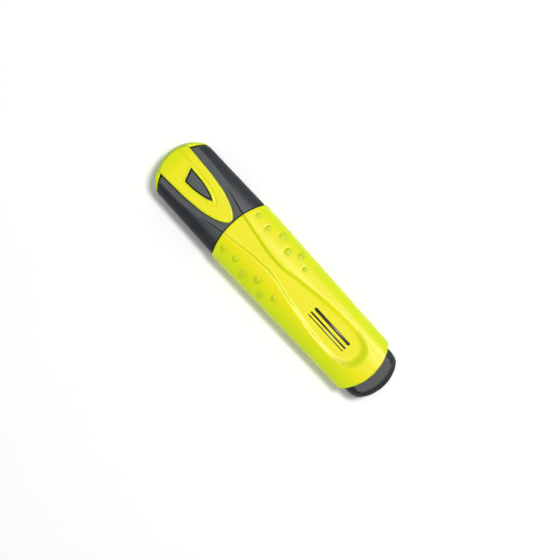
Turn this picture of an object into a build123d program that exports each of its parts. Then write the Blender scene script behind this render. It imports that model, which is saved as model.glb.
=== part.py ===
from build123d import *
import math
import os

# A flat-bodied desk highlighter, capped and lying on its back, as separate moulded pieces.
# Frame, in millimetres: +X runs from the end plug to the cap, +Y is across the flat body,
# +Z is up, out of the face that carries the clip. The origin is under the middle of the pen
# on the surface that it lies on, so every piece is at its place in the closed pen.

# ---- Driving dimensions ----
LENGTH = 114.0  # end plug to crown, cap on
PEN_AXIS_Z = 8.2  # height of the pen's long axis above the flat that it lies on
SECTION_POWER = 2.8  # superellipse power of every flat-oval section
FIT_GAP = 0.05  # gap per side between pieces that fit together

# Barrel: a flat oval tube that narrows towards the end plug, both ends bowed in plan
BARREL_FRONT_X = 22.5
BARREL_REAR_X = -50.9
BARREL_FRONT_HALF_WIDTH = 13.5
BARREL_REAR_HALF_WIDTH = 12.1
BARREL_HALF_THICK = 8.55
BARREL_SIDE_WALL = 1.45
BARREL_BORE_HALF_THICK = 6.3
FRONT_BOW_RADIUS = 30.0
REAR_BOW_RADIUS = 20.7
RIM_GAP = 0.12  # between the cap's rim and the barrel

# Channel on the barrel, front and back, that carries on the cap's land: (x, half width)
CHANNEL = [
    (26.0, 5.65),
    (22.5, 5.0),
    (15.3, 3.55),
    (8.2, 2.45),
    (0.3, 1.95),
    (-8.0, 3.25),
    (-18.8, 4.95),
    (-28.0, 6.2),
    (-36.0, 6.25),
    (-41.5, 4.4),
]
CHANNEL_END_X = -43.7
CHANNEL_FLOOR_Z = 15.86  # at x = 0
CHANNEL_FLOOR_SLOPE = 0.0063  # the floor sinks towards the end plug
CHANNEL_WALL_HEIGHT = 0.9
CHANNEL_WALL_WIDTH = 0.6  # plan width of the sloped wall at the barrel's front
CHANNEL_WALL_GROWTH = 0.035  # how it widens per millimetre towards the plug

# Grip dots on each flank: (x, distance from the axis, diameter)
DOTS = [
    (18.0, 8.65, 2.0),
    (12.4, 8.0, 2.2),
    (6.65, 9.9, 2.7),
    (1.6, 7.5, 2.6),
    (-2.8, 10.0, 2.3),
    (-7.1, 7.7, 1.8),
]
DOT_HEIGHT = 0.32

# Cap shell
CAP_RIM_HALF_WIDTH = 12.9
CAP_END_HALF_WIDTH = 12.45
CAP_HALF_THICK = 8.0
CAP_BORE_RIM = (11.3, 6.1)  # half width and half thickness of the bore at the rim
CAP_BORE_SEAT = (10.9, 5.1)  # and where the inner cap's flange rests
CAP_BORE_END = (11.4, 5.5)  # and from there to the crown
CAP_SEAT_X = 45.0
SEAM_X = 53.5  # crown to shell seam, on the axis
SEAM_BOW_RADIUS = 18.65

# Land on the shell under the clip: its side profile (x, height above the axis), and its plan
LAND_PROFILE = [(58.0, 6.45), (50.0, 6.6), (43.3, 6.71), (38.4, 6.98), (33.4, 7.22), (26.0, 7.28), (17.0, 7.3)]
LAND_PLAN = [(31.5, 7.0), (26.0, 5.65), (17.0, 3.9)]
LAND_OPEN_X = 34.0  # ahead of here the land runs out to the shell's sides

# Crown: plan outline of one side (x, y) and the top edge of its rounded end
CROWN_SIDE = [(48.0, 12.75), (50.4, 12.15), (52.9, 9.8), (55.1, 6.9), (56.5, 3.7)]
CROWN_EDGE_X = 54.4
CROWN_END_FALL = 0.55  # how far the end has fallen back at the share of its height below
CROWN_END_SHARE = 0.55
CROWN_SPIGOT_X = 46.3
CROWN_WALL = 0.8
CROWN_END_WALL = 5.0

# Clip
CLIP_UNDER_Z = 15.95
CLIP_TOP_Z = 17.3
CLIP_ROOT_X = 51.0
CLIP_ROOT_HALF_WIDTH = 6.8
CLIP_SIDE = [(45.8, 6.55), (40.8, 6.25), (35.9, 5.75), (30.9, 4.8), (28.5, 4.05), (26.0, 2.95)]
CLIP_TIP_X = 23.1
CLIP_BUMP_X = 28.0
CLIP_BUMP_HALF_WIDTH = 2.6
CLIP_BUMP_RADIUS = 1.2
CLIP_BUMP_REACH = 0.32  # how far the bump stands down from the clip
PANEL_DEPTH = 0.3
PANEL_SIDE = [(53.0, 3.85), (44.0, 3.8), (38.0, 3.3), (34.0, 2.35)]
PANEL_TIP_X = 30.6
WINDOW_LEFT = [(44.8, 2.4), (39.6, 2.1), (35.9, 1.3)]
WINDOW_RIGHT = [(46.5, -2.35), (39.6, -2.0), (35.9, -1.2)]
WINDOW_TIP_X = 32.9
WINDOW_TIP_SHARPNESS = 2.9  # how far the tip draws back for each millimetre of inset
WINDOW_GAP = 0.3  # between the clip's window and the shell's boss that stands in it
WINDOW_BOSS_Z = 16.75
WINDOW_BOSS_ROOT_Z = 14.35  # inside the shell's wall

# Nose, nib and reservoir
NOSE_REAR_X = 11.0
NOSE_BED_X = 20.0  # where the nose's skirt ends and its neck begins, on the flanks
NECK_END_X = 30.0
NECK_SECTION = (10.6, 5.4)
SNAP_BEAD_X = 26.0
SNAP_BEAD_RADIUS = 0.4
SNAP_BEAD_SINK = 0.1
SNAP_BEAD_LENGTH = 5.0
BOSS_START_X = 34.5
BOSS_END_X = 40.5
BOSS_RADIUS = 3.9
BOSS_STEP = 0.35  # ledge round the boss that the inner cap's mouth comes up to
NOSE_TIP_X = 43.0
NOSE_TIP_RADIUS = 3.5
NIB_TAIL_X = 15.0
NIB_TIP_X = 48.4
NIB_WIDTH = 5.2
NIB_THICK = 3.4
NIB_CHISEL_ANGLE = 38.0
RESERVOIR_REAR_X = -42.5
RESERVOIR_FRONT_X = 28.4
RESERVOIR_SECTION = (9.1, 4.15)
FILM_THICK = 0.2
RIB_THICK = 1.0
RIB_REACH = 0.3  # how far each rib is rooted in the barrel's wall

# End plug
PLUG_END_X = -LENGTH / 2
PLUG_INNER_X = -42.8
PLUG_END_RADIUS = 14.9
PLUG_EDGE = 2.2
PLUG_WALL = 1.3
PLUG_END_WALL = 5.0
PLUG_END_FALL = 0.45  # how far the end has fallen back at the share of its height below
PLUG_END_SHARE = 0.6
PLUG_RELIEF = 0.6  # how far the hidden spigot is stepped in between its seal rings
PLUG_RING_X = [-44.0, -46.6]
PLUG_RING_WIDTH = 0.9

# Inner cap that keeps the nib wet
INNER_CAP_MOUTH_X = 35.0
INNER_CAP_END_X = 50.2
INNER_CAP_WALL = 0.65
INNER_CAP_FLANGE = 1.2

BLOCK_HALF_WIDTH = 14.0  # wider than any piece
BLOCK_HEIGHT = 40.0
CLEAR_CUT_RADIUS = 200.0
QUARTER_POINTS = 9


def oval(x, section, power=SECTION_POWER):
    """Flat-oval face square to X; section is its half width and half thickness."""
    half_width, half_thick = section
    steps = [i * math.pi / 2 / (QUARTER_POINTS - 1) for i in range(QUARTER_POINTS)]
    arc = [
        (
            half_width * max(math.cos(t), 0.0) ** (2 / power),
            half_thick * max(math.sin(t), 0.0) ** (2 / power),
        )
        for t in steps
    ]
    first = Spline(*arc, tangents=((0, 1), (-1, 0)))
    second = first.mirror(Plane.YZ)
    outline = [first, second, first.mirror(Plane.XZ), second.mirror(Plane.XZ)]
    place = Plane(origin=(x, 0, PEN_AXIS_Z), x_dir=(0, 1, 0), z_dir=(1, 0, 0))
    return place * make_face(outline)


def tube(x_rear, x_front, section):
    """Straight flat-oval bar between two stations."""
    return loft([oval(x_rear, section), oval(x_front, section)])


def shrink(section, amount):
    """Section smaller by that much per side."""
    return section[0] - amount, section[1] - amount


def barrel_half_width(x):
    """Half width of the barrel's outside, which tapers in a straight line."""
    share = (x - BARREL_REAR_X) / (BARREL_FRONT_X - BARREL_REAR_X)
    return BARREL_REAR_HALF_WIDTH + share * (BARREL_FRONT_HALF_WIDTH - BARREL_REAR_HALF_WIDTH)


def barrel_outside(x):
    """Section of the barrel's outside."""
    return barrel_half_width(x), BARREL_HALF_THICK


def barrel_bore(x):
    """Section of the barrel's bore."""
    return barrel_half_width(x) - BARREL_SIDE_WALL, BARREL_BORE_HALF_THICK


def cap_half_width(x):
    """Half width of the cap's outside, which tapers towards the crown."""
    share = (x - BARREL_FRONT_X) / (LENGTH / 2 - BARREL_FRONT_X)
    return CAP_RIM_HALF_WIDTH + share * (CAP_END_HALF_WIDTH - CAP_RIM_HALF_WIDTH)


def cap_outside(x):
    """Section of the cap's outside."""
    return cap_half_width(x), CAP_HALF_THICK


def taper(section_at, x_rear, x_front, inset=0.0):
    """Tapered flat-oval bar whose section is given by a rule, inset per side."""
    return loft([oval(x, shrink(section_at(x), inset)) for x in (x_rear, x_front)])


def bow(x_middle, radius):
    """Three plan points of an end bowed to that radius; a negative radius is hollow."""
    drop = abs(radius) - math.sqrt(radius**2 - BLOCK_HALF_WIDTH**2)
    x_edge = x_middle - math.copysign(drop, radius)
    return (x_edge, -BLOCK_HALF_WIDTH), (x_middle, 0), (x_edge, BLOCK_HALF_WIDTH)


def plain_end(x):
    """Plan points of a cut that only has to pass clear of the piece, so it is nearly straight."""
    return bow(x, CLEAR_CUT_RADIUS)


def plan_block(rear, front):
    """Tall block whose two ends are bowed in plan."""
    outline = [
        ThreePointArc(*rear),
        Line(rear[2], front[2]),
        ThreePointArc(*front),
        Line(front[0], rear[0]),
    ]
    return extrude(make_face(outline), amount=BLOCK_HEIGHT, both=True)


def mirrored_outline(side, front_x):
    """Closed plan face from one side's curve, its mirror and a straight front."""
    half_width = (side @ 0).Y
    front = Line((front_x, -half_width), (front_x, half_width))
    edges = [front, side, side.mirror(Plane.XZ)]
    if front_x != (side @ 0).X:
        start = side @ 0
        edges.append(Line((front_x, half_width), (start.X, start.Y)))
        edges.append(Line((front_x, -half_width), (start.X, -start.Y)))
    return make_face(edges)


def barrel_front_bow(ahead=0.0):
    """The bow that barrel, nose and cap rim share, moved ahead."""
    return bow(BARREL_FRONT_X + ahead, FRONT_BOW_RADIUS)


def seam_bow(ahead=0.0):
    """The bow between the cap's shell and its crown, moved ahead."""
    return bow(SEAM_X + ahead, SEAM_BOW_RADIUS)


def channel_wire(shift):
    """Plan outline of the channel, moved outwards by a share of the sloped wall's width."""
    points = [
        (x, w + shift * (CHANNEL_WALL_WIDTH + CHANNEL_WALL_GROWTH * (BARREL_FRONT_X - x)))
        for x, w in CHANNEL
    ]
    end_wall = CHANNEL_WALL_WIDTH + CHANNEL_WALL_GROWTH * (BARREL_FRONT_X - CHANNEL_END_X)
    end = (CHANNEL_END_X - shift * end_wall, 0)
    left = Spline(*points, end, tangents=((-1, -0.25), (0, -1)))
    x, w = points[0]
    return Wire([Line((x, -w), (x, w)), left, left.mirror(Plane.XZ)])


def channel_cutter():
    """Shallow channel with sloped walls, narrow at its waist, ending in an oval dish."""
    tilt = Plane(
        origin=(0, 0, CHANNEL_FLOOR_Z),
        x_dir=(1, 0, CHANNEL_FLOOR_SLOPE),
        z_dir=(-CHANNEL_FLOOR_SLOPE, 0, 1),
    )
    floor = tilt * channel_wire(-0.5)
    brim = tilt.offset(CHANNEL_WALL_HEIGHT) * channel_wire(0.5)
    return Solid.make_loft([floor, brim], ruled=True)


def dot_places():
    """Centre and radius of the sphere behind each grip dot, front and back of both flanks."""
    places = []
    for x, y, diameter in DOTS:
        radius = ((diameter / 2) ** 2 + DOT_HEIGHT**2) / (2 * DOT_HEIGHT)
        half_width = barrel_half_width(x)
        rise = (1 - (y / half_width) ** SECTION_POWER) ** (1 / SECTION_POWER)
        across = (y / half_width) ** (SECTION_POWER - 1) / half_width
        upward = rise ** (SECTION_POWER - 1) / BARREL_HALF_THICK
        sink = (radius - DOT_HEIGHT) / math.hypot(across, upward)
        centre_y = y - sink * across
        centre_z = BARREL_HALF_THICK * rise - sink * upward
        for side in (1, -1):
            for face in (1, -1):
                places.append((Pos(x, side * centre_y, PEN_AXIS_Z + face * centre_z), radius))
    return places


def reservoir_ribs():
    """Six ribs inside the barrel that hold the filmed reservoir clear of the wall."""
    x_rear = PLUG_INNER_X + 1
    x_front = NOSE_REAR_X - 1
    length = x_front - x_rear
    fins = Box(length, 2 * BARREL_FRONT_HALF_WIDTH, RIB_THICK)
    fins += Pos(0, 5, 0) * Box(length, RIB_THICK, 2 * BARREL_HALF_THICK)
    fins += Pos(0, -5, 0) * Box(length, RIB_THICK, 2 * BARREL_HALF_THICK)
    fins = Pos((x_front + x_rear) / 2, 0, PEN_AXIS_Z) * fins
    wrapped = shrink(RESERVOIR_SECTION, -FILM_THICK - FIT_GAP)
    filled = taper(barrel_bore, x_rear - 1, x_front + 1, -RIB_REACH)
    return (fins & filled) - tube(x_rear - 1, x_front + 1, wrapped)


def barrel():
    """Yellow body tube with the channel front and back, grip dots and the reservoir's ribs."""
    body = taper(barrel_outside, BARREL_REAR_X - 2, BARREL_FRONT_X + 2)
    body &= plan_block(bow(BARREL_REAR_X, -REAR_BOW_RADIUS), barrel_front_bow())
    for place, radius in dot_places():
        body += place * Sphere(radius)
    cutter = channel_cutter()
    body -= cutter
    body -= cutter.mirror(Plane.XY.offset(PEN_AXIS_Z))
    body -= Pos(0, 0, -BLOCK_HEIGHT / 2) * Box(2 * LENGTH, 2 * BLOCK_HALF_WIDTH, BLOCK_HEIGHT)
    body -= taper(barrel_bore, BARREL_REAR_X - 3, BARREL_FRONT_X + 3)
    return body + reservoir_ribs()


def land_cutter():
    """Everything above the land under the clip, which narrows to the channel's width at the rim."""
    high = PEN_AXIS_Z + BLOCK_HEIGHT
    line = [(x, PEN_AXIS_Z + z) for x, z in LAND_PROFILE]
    start_x = line[0][0]
    end_x = line[-1][0]
    profile = [
        Spline(*line),
        Line(line[-1], (end_x, high)),
        Line((end_x, high), (start_x, high)),
        Line((start_x, high), line[0]),
    ]
    above = extrude(Plane.XZ * make_face(profile), amount=BLOCK_HALF_WIDTH, both=True)
    plan = Polyline(
        (start_x, BLOCK_HALF_WIDTH),
        (LAND_OPEN_X, BLOCK_HALF_WIDTH),
        (LAND_OPEN_X - 0.5, LAND_PLAN[0][1] + 0.9),
        *LAND_PLAN,
        (end_x, 0),
    )
    return above & extrude(mirrored_outline(plan, start_x), amount=BLOCK_HEIGHT)


def window_face(inset=0.0):
    """Plan face of the clip's shield-shaped window, or of the boss that stands clear inside it."""
    tip = (WINDOW_TIP_X + WINDOW_TIP_SHARPNESS * inset, 0)
    left = [(x, y - inset) for x, y in WINDOW_LEFT]
    right = [(x, y + inset) for x, y in WINDOW_RIGHT]
    left[0] = (left[0][0] - inset, left[0][1])
    right[0] = (right[0][0] - inset, right[0][1])
    return make_face([Line(right[0], left[0]), Spline(*left, tip), Spline(*right, tip)])


def cap_shell():
    """Charcoal sleeve of the cap with the land under the clip and the boss in its window."""
    rim_x = BARREL_FRONT_X - 5
    body = taper(cap_outside, rim_x, SEAM_X + 2)
    land = land_cutter()
    body -= land
    body -= land.mirror(Plane.XY.offset(PEN_AXIS_Z))
    body &= plan_block(barrel_front_bow(RIM_GAP), seam_bow())
    body -= loft([oval(rim_x - 1, CAP_BORE_RIM), oval(CAP_SEAT_X, CAP_BORE_SEAT)])
    body -= tube(CAP_SEAT_X, SEAM_X + 3, CAP_BORE_END)
    boss = extrude(window_face(WINDOW_GAP), amount=WINDOW_BOSS_Z - WINDOW_BOSS_ROOT_Z)
    return body + Pos(0, 0, WINDOW_BOSS_ROOT_Z) * boss


def crown_plan():
    """Plan outline of the crown: straight behind, drawn in along both shoulders to its tip."""
    side = Spline(*CROWN_SIDE, (LENGTH / 2, 0), tangents=((1, -0.1), (0, -1)))
    x, y = CROWN_SIDE[0]
    outline = [
        Line((x, -y), (x, y)),
        side,
        side.mirror(Plane.XZ),
    ]
    return extrude(make_face(outline), amount=BLOCK_HEIGHT)


def crown_profile():
    """Side view of the crown's rounded end, as a block across the whole width."""
    top = CLIP_TOP_Z - PEN_AXIS_Z
    rear = CAP_SEAT_X
    end = LENGTH / 2
    middle = (end - CROWN_END_FALL, top * CROWN_END_SHARE)
    upper = Spline((CROWN_EDGE_X, top), middle, (end, 0), tangents=((1, -0.5), (0, -1)))
    outline = [
        upper,
        upper.mirror(Plane.XZ),
        Line((CROWN_EDGE_X, top), (rear, top)),
        Line((rear, top), (rear, -top)),
        Line((rear, -top), (CROWN_EDGE_X, -top)),
    ]
    face = Pos(0, 0, PEN_AXIS_Z) * (Plane.XZ * make_face(outline))
    return extrude(face, amount=BLOCK_HALF_WIDTH, both=True)


def crown_stub():
    """Block on the crown that the clip grows from, footed in the dome beyond the seam."""
    end = LENGTH / 2
    width = 2 * CLIP_ROOT_HALF_WIDTH
    top = Pos((CLIP_ROOT_X + end) / 2, 0, (CLIP_UNDER_Z + CLIP_TOP_Z) / 2) * Box(
        end - CLIP_ROOT_X, width, CLIP_TOP_Z - CLIP_UNDER_Z
    )
    foot = Pos((SEAM_X + end) / 2, 0, CLIP_UNDER_Z - 1) * Box(end - SEAM_X, width, 3)
    return top + foot


def cap_crown():
    """Yellow end of the cap: dome, the stub that the clip grows from, and a hollow spigot."""
    dome = taper(cap_outside, CROWN_SIDE[0][0] - 1, LENGTH / 2 + 1)
    dome &= plan_block(seam_bow(FIT_GAP), plain_end(LENGTH))
    body = (dome + crown_stub()) & crown_profile() & crown_plan()
    spigot = tube(CROWN_SPIGOT_X, SEAM_X, shrink(CAP_BORE_END, FIT_GAP))
    body += spigot & plan_block(plain_end(0), seam_bow(2 * FIT_GAP))
    hollow_end = LENGTH / 2 - CROWN_END_WALL
    body -= tube(CROWN_SPIGOT_X - 1, hollow_end, shrink(CAP_BORE_END, CROWN_WALL))
    return body - clip_knuckle(FIT_GAP)


def clip_knuckle(gap=0.0):
    """Round bar about the line on which the clip flexes."""
    radius = (CLIP_TOP_Z - CLIP_UNDER_Z) / 2 + gap
    bar = Cylinder(radius, 2 * CLIP_ROOT_HALF_WIDTH + 2 * gap, rotation=(90, 0, 0))
    return Pos(CLIP_ROOT_X, 0, (CLIP_TOP_Z + CLIP_UNDER_Z) / 2) * bar


def clip():
    """Yellow tongue with its window, shallow panel and the bump that grips the paper."""
    side = Spline(
        (CLIP_ROOT_X, CLIP_ROOT_HALF_WIDTH), *CLIP_SIDE, (CLIP_TIP_X, 0), tangents=((-1, 0), (0, -1))
    )
    body = extrude(mirrored_outline(side, CLIP_ROOT_X), amount=CLIP_TOP_Z - CLIP_UNDER_Z)
    body = Pos(0, 0, CLIP_UNDER_Z) * body + clip_knuckle() + clip_bump()
    body -= extrude(window_face(), amount=BLOCK_HEIGHT)
    panel_side = Spline(*PANEL_SIDE, (PANEL_TIP_X, 0), tangents=((-1, 0), (-0.6, -1)))
    panel = extrude(mirrored_outline(panel_side, PANEL_SIDE[0][0]), amount=BLOCK_HEIGHT)
    return body - Pos(0, 0, CLIP_TOP_Z - PANEL_DEPTH) * panel


def clip_bump():
    """Part-round ridge across the clip's underside, near its tip."""
    bar = Cylinder(CLIP_BUMP_RADIUS, 2 * CLIP_BUMP_HALF_WIDTH, rotation=(90, 0, 0))
    bar = Pos(CLIP_BUMP_X, 0, CLIP_UNDER_Z + CLIP_BUMP_RADIUS - CLIP_BUMP_REACH) * bar
    middle_z = (CLIP_UNDER_Z + CLIP_TOP_Z) / 2
    return bar & Pos(CLIP_BUMP_X, 0, middle_z - BLOCK_HEIGHT / 2) * Box(
        BLOCK_HEIGHT, BLOCK_HEIGHT, BLOCK_HEIGHT
    )


def inner_cap():
    """Cup that seals round the nose's boss, with a flange held between the shell and the crown."""
    middle_x = (INNER_CAP_MOUTH_X + INNER_CAP_END_X) / 2
    length = INNER_CAP_END_X - INNER_CAP_MOUTH_X
    inside = BOSS_RADIUS + FIT_GAP
    cup = Cylinder(inside + INNER_CAP_WALL, length, rotation=(0, 90, 0))
    cup -= Pos(-INNER_CAP_WALL, 0, 0) * Cylinder(inside, length, rotation=(0, 90, 0))
    flange_x = CAP_SEAT_X + FIT_GAP
    flange = tube(flange_x, flange_x + INNER_CAP_FLANGE, shrink(CAP_BORE_END, FIT_GAP))
    flange -= Pos(CAP_SEAT_X, 0, PEN_AXIS_Z) * Cylinder(inside, 10, rotation=(0, 90, 0))
    return Pos(middle_x, 0, PEN_AXIS_Z) * cup + flange


def nib_bar(x_rear, x_front, gap=0.0):
    """Rectangular bar on the pen's axis."""
    bar = Box(x_front - x_rear, NIB_WIDTH + 2 * gap, NIB_THICK + 2 * gap)
    return Pos((x_front + x_rear) / 2, 0, PEN_AXIS_Z) * bar


def nose():
    """Charcoal front section: skirt in the barrel, neck under the cap, cone, boss and tip."""
    skirt = taper(barrel_bore, NOSE_REAR_X, BARREL_FRONT_X + 2, FIT_GAP)
    skirt &= plan_block(plain_end(0), barrel_front_bow())
    body = skirt + tube(NOSE_BED_X - 2, NECK_END_X, NECK_SECTION)
    shoulder = BOSS_RADIUS + BOSS_STEP
    body += loft([oval(NECK_END_X, NECK_SECTION), oval(BOSS_START_X, (shoulder, shoulder), 2.0)])
    boss_root_x = BOSS_START_X - 1
    boss_length = BOSS_END_X - boss_root_x
    boss = Cylinder(BOSS_RADIUS, boss_length, rotation=(0, 90, 0))
    body += Pos(boss_root_x + boss_length / 2, 0, PEN_AXIS_Z) * boss
    tip_length = NOSE_TIP_X - BOSS_END_X
    tip = Cone(BOSS_RADIUS, NOSE_TIP_RADIUS, tip_length, rotation=(0, 90, 0))
    body += Pos(BOSS_END_X + tip_length / 2, 0, PEN_AXIS_Z) * tip
    for face in (1, -1):
        bead = Cylinder(SNAP_BEAD_RADIUS, SNAP_BEAD_LENGTH, rotation=(90, 0, 0))
        body += Pos(SNAP_BEAD_X, 0, PEN_AXIS_Z + face * (NECK_SECTION[1] - SNAP_BEAD_SINK)) * bead
    wrapped = shrink(RESERVOIR_SECTION, -FILM_THICK - FIT_GAP)
    body -= tube(NOSE_REAR_X - 1, RESERVOIR_FRONT_X + FIT_GAP, wrapped)
    return body - nib_bar(RESERVOIR_FRONT_X - 1, NIB_TIP_X, FIT_GAP)


def nib():
    """Chisel nib: a felt bar that reaches back into the reservoir."""
    body = nib_bar(NIB_TAIL_X, NIB_TIP_X)
    slope = Pos(NIB_TIP_X, NIB_WIDTH / 2, PEN_AXIS_Z) * Rot(0, 0, NIB_CHISEL_ANGLE)
    return body - slope * Pos(5, 0, 0) * Box(10, 20, 10)


def ink_reservoir():
    """Fibre wadding with the pocket that the nib's tail sits in."""
    body = tube(RESERVOIR_REAR_X, RESERVOIR_FRONT_X, RESERVOIR_SECTION)
    return body - nib_bar(NIB_TAIL_X - FIT_GAP, NIB_TIP_X, FIT_GAP)


def reservoir_film():
    """Clear film wrapped round the wadding, open at both ends."""
    outside = shrink(RESERVOIR_SECTION, -FILM_THICK)
    sleeve = tube(RESERVOIR_REAR_X, RESERVOIR_FRONT_X, outside)
    return sleeve - tube(RESERVOIR_REAR_X - 1, RESERVOIR_FRONT_X + 1, RESERVOIR_SECTION)


def plug_block():
    """Block that rounds the plug's end off in plan and in side view."""
    plan = plan_block(bow(PLUG_END_X, -PLUG_END_RADIUS), plain_end(0))
    high = BARREL_BORE_HALF_THICK
    edge_x = PLUG_END_X + PLUG_EDGE
    middle = (PLUG_END_X + PLUG_END_FALL, high * PLUG_END_SHARE)
    upper = ThreePointArc((edge_x, high), middle, (PLUG_END_X, 0))
    outline = [
        upper,
        upper.mirror(Plane.XZ),
        Line((edge_x, high), (0, high)),
        Line((0, high), (0, -high)),
        Line((0, -high), (edge_x, -high)),
    ]
    face = Pos(0, 0, PEN_AXIS_Z) * (Plane.XZ * make_face(outline))
    return plan & extrude(face, amount=BLOCK_HALF_WIDTH, both=True)


def end_plug():
    """Charcoal stopper that closes the barrel's tail, with two seal rings on its spigot."""
    body = taper(barrel_bore, PLUG_END_X - 2, PLUG_INNER_X, FIT_GAP) & plug_block()
    spigot_x = BARREL_REAR_X + 4.5
    ring = taper(barrel_bore, spigot_x, PLUG_INNER_X + 1, -1.0)
    ring -= taper(barrel_bore, spigot_x - 1, PLUG_INNER_X + 2, PLUG_RELIEF)
    for x in PLUG_RING_X:
        ring -= Pos(x, 0, PEN_AXIS_Z) * Box(PLUG_RING_WIDTH, 2 * BLOCK_HALF_WIDTH, BLOCK_HEIGHT)
    body -= ring
    hollow = taper(barrel_bore, PLUG_END_X + PLUG_END_WALL, PLUG_INNER_X + 1, PLUG_WALL)
    return body - hollow


PARTS = [
    barrel,
    nose,
    nib,
    ink_reservoir,
    reservoir_film,
    end_plug,
    cap_shell,
    cap_crown,
    clip,
    inner_cap,
]


def main():
    os.makedirs("parts", exist_ok=True)
    for make in PARTS:
        export_step(make(), f"parts/{make.__name__}.step")


main()
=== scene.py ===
import math

import bpy
import numpy as np
from mathutils import Matrix, Vector


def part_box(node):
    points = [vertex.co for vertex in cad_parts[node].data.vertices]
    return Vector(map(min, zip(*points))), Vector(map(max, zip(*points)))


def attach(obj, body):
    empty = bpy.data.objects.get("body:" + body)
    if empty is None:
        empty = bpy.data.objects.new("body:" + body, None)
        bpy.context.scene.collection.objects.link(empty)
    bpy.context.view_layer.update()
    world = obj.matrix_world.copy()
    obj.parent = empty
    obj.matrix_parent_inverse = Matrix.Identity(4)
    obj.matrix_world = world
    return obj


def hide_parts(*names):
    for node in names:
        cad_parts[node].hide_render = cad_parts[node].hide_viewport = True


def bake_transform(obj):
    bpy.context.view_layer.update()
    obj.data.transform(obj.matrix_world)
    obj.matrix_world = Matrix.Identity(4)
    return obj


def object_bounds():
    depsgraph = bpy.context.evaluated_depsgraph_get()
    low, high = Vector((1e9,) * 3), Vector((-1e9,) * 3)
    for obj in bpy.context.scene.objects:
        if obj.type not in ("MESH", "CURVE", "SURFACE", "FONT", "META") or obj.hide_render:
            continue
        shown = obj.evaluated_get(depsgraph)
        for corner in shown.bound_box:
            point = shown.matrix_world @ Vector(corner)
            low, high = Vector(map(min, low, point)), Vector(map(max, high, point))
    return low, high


# Looks for a flat-bodied highlighter. Shapes are worked out in millimetres in the row frame:
# +X towards the cap, +Y across the flat body, +Z up. A point's "rise" is its height over the pen's
# axis, and "across" is how far it lies to the side of that axis.

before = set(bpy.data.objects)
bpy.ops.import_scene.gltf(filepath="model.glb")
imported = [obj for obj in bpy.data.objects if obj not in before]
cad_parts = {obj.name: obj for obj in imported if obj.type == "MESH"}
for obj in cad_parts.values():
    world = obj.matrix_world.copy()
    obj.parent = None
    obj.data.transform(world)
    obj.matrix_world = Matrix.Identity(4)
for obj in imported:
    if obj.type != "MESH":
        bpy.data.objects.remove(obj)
CAD_LOW, CAD_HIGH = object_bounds()

MM = 0.001
PI = math.pi
POWER = 2.8  # superellipse power of the pen's section
ROUND = 2.0  # the power of a plain ellipse
BATCH = 20000  # points measured at a time
TINY = 1e-9  # keeps divisions and roots off zero


def cad_box(node):
    """Lowest and highest corner of a CAD node, in millimetres."""
    low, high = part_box(node)
    return np.array(low) / MM, np.array(high) / MM


BARREL_LOW, BARREL_HIGH = cad_box("barrel")
CLIP_LOW, CLIP_HIGH = cad_box("clip")
PLUG_LOW, PLUG_HIGH = cad_box("end_plug")
NIB_LOW, NIB_HIGH = cad_box("nib")

AXIS_Z = (NIB_LOW[2] + NIB_HIGH[2]) / 2
REAR_X, FRONT_X = BARREL_LOW[0], BARREL_HIGH[0]
TOP_RISE = BARREL_HIGH[2] - AXIS_Z
NOSE_X = cad_box("nose")[0][0]  # its rear end
SEAM_X = cad_box("cap_shell")[1][0]  # where the shell ends, on the axis
END_X = cad_box("cap_crown")[1][0]

# ---- small tools ----


def smoothstep(t):
    """Smooth change from 0 to 1 as t goes from 0 to 1."""
    t = np.clip(t, 0.0, 1.0)
    return t * t * (3 - 2 * t)


def soft_max(a, b, r):
    """Maximum of two fields with a rounded changeover of radius about r."""
    h = np.maximum(r - np.abs(a - b), 0.0) / r
    return np.maximum(a, b) + h * h * r / 4


def soft_min(a, b, r):
    """Minimum of two fields, rounded in the same way."""
    return -soft_max(-a, -b, r)


def curve_through(points, per_span=12):
    """Smooth curve through plan points, in order."""
    p = np.array(points, float)
    p = np.vstack([2 * p[0] - p[1], p, 2 * p[-1] - p[-2]])
    t = np.linspace(0, 1, per_span, endpoint=False)[:, None]
    spans = []
    for a, b, c, d in zip(p[:-3], p[1:-2], p[2:-1], p[3:]):
        square = (2 * a - 5 * b + 4 * c - d) * t**2
        cube = (3 * b - a - 3 * c + d) * t**3
        spans.append(0.5 * (2 * b + (c - a) * t + square + cube))
    return np.vstack(spans + [p[-2][None]])


def table(points):
    """Function of x through (x, value) rows given in any order."""
    line = curve_through(sorted(points))
    return lambda x: np.interp(x, line[:, 0], line[:, 1])


def line_distance(x, y, line):
    """Distance of each point from an open or closed run of plan points."""
    q = np.stack([np.ravel(x), np.ravel(y)], 1)
    a, b = line[:-1], line[1:]
    ab = b - a
    size = np.maximum((ab**2).sum(1), TINY)
    best = np.empty(len(q))
    for start in range(0, len(q), BATCH):
        part = q[start : start + BATCH, None] - a[None]
        t = np.clip((part * ab[None]).sum(2) / size, 0, 1)
        gap = part - t[..., None] * ab[None]
        best[start : start + BATCH] = np.sqrt((gap**2).sum(2).min(1))
    return best.reshape(np.shape(x))


def outline_distance(x, y, line):
    """Signed distance from a closed outline, negative inside."""
    closed = np.vstack([line, line[:1]])
    away = line_distance(x, y, closed)
    inside = np.zeros(np.shape(x), bool)
    for (ax, ay), (bx, by) in zip(closed[:-1], closed[1:]):
        if ay == by:
            continue
        crosses = (ay > y) != (by > y)
        at = ax + (y - ay) * (bx - ax) / (by - ay)
        inside ^= crosses & (x < at)
    return np.where(inside, -away, away)


def bow_drop(y, radius):
    """How far a bowed end falls back at distance y from the axis."""
    return radius - np.sqrt(np.maximum(radius**2 - np.square(y), 0.0))


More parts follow.
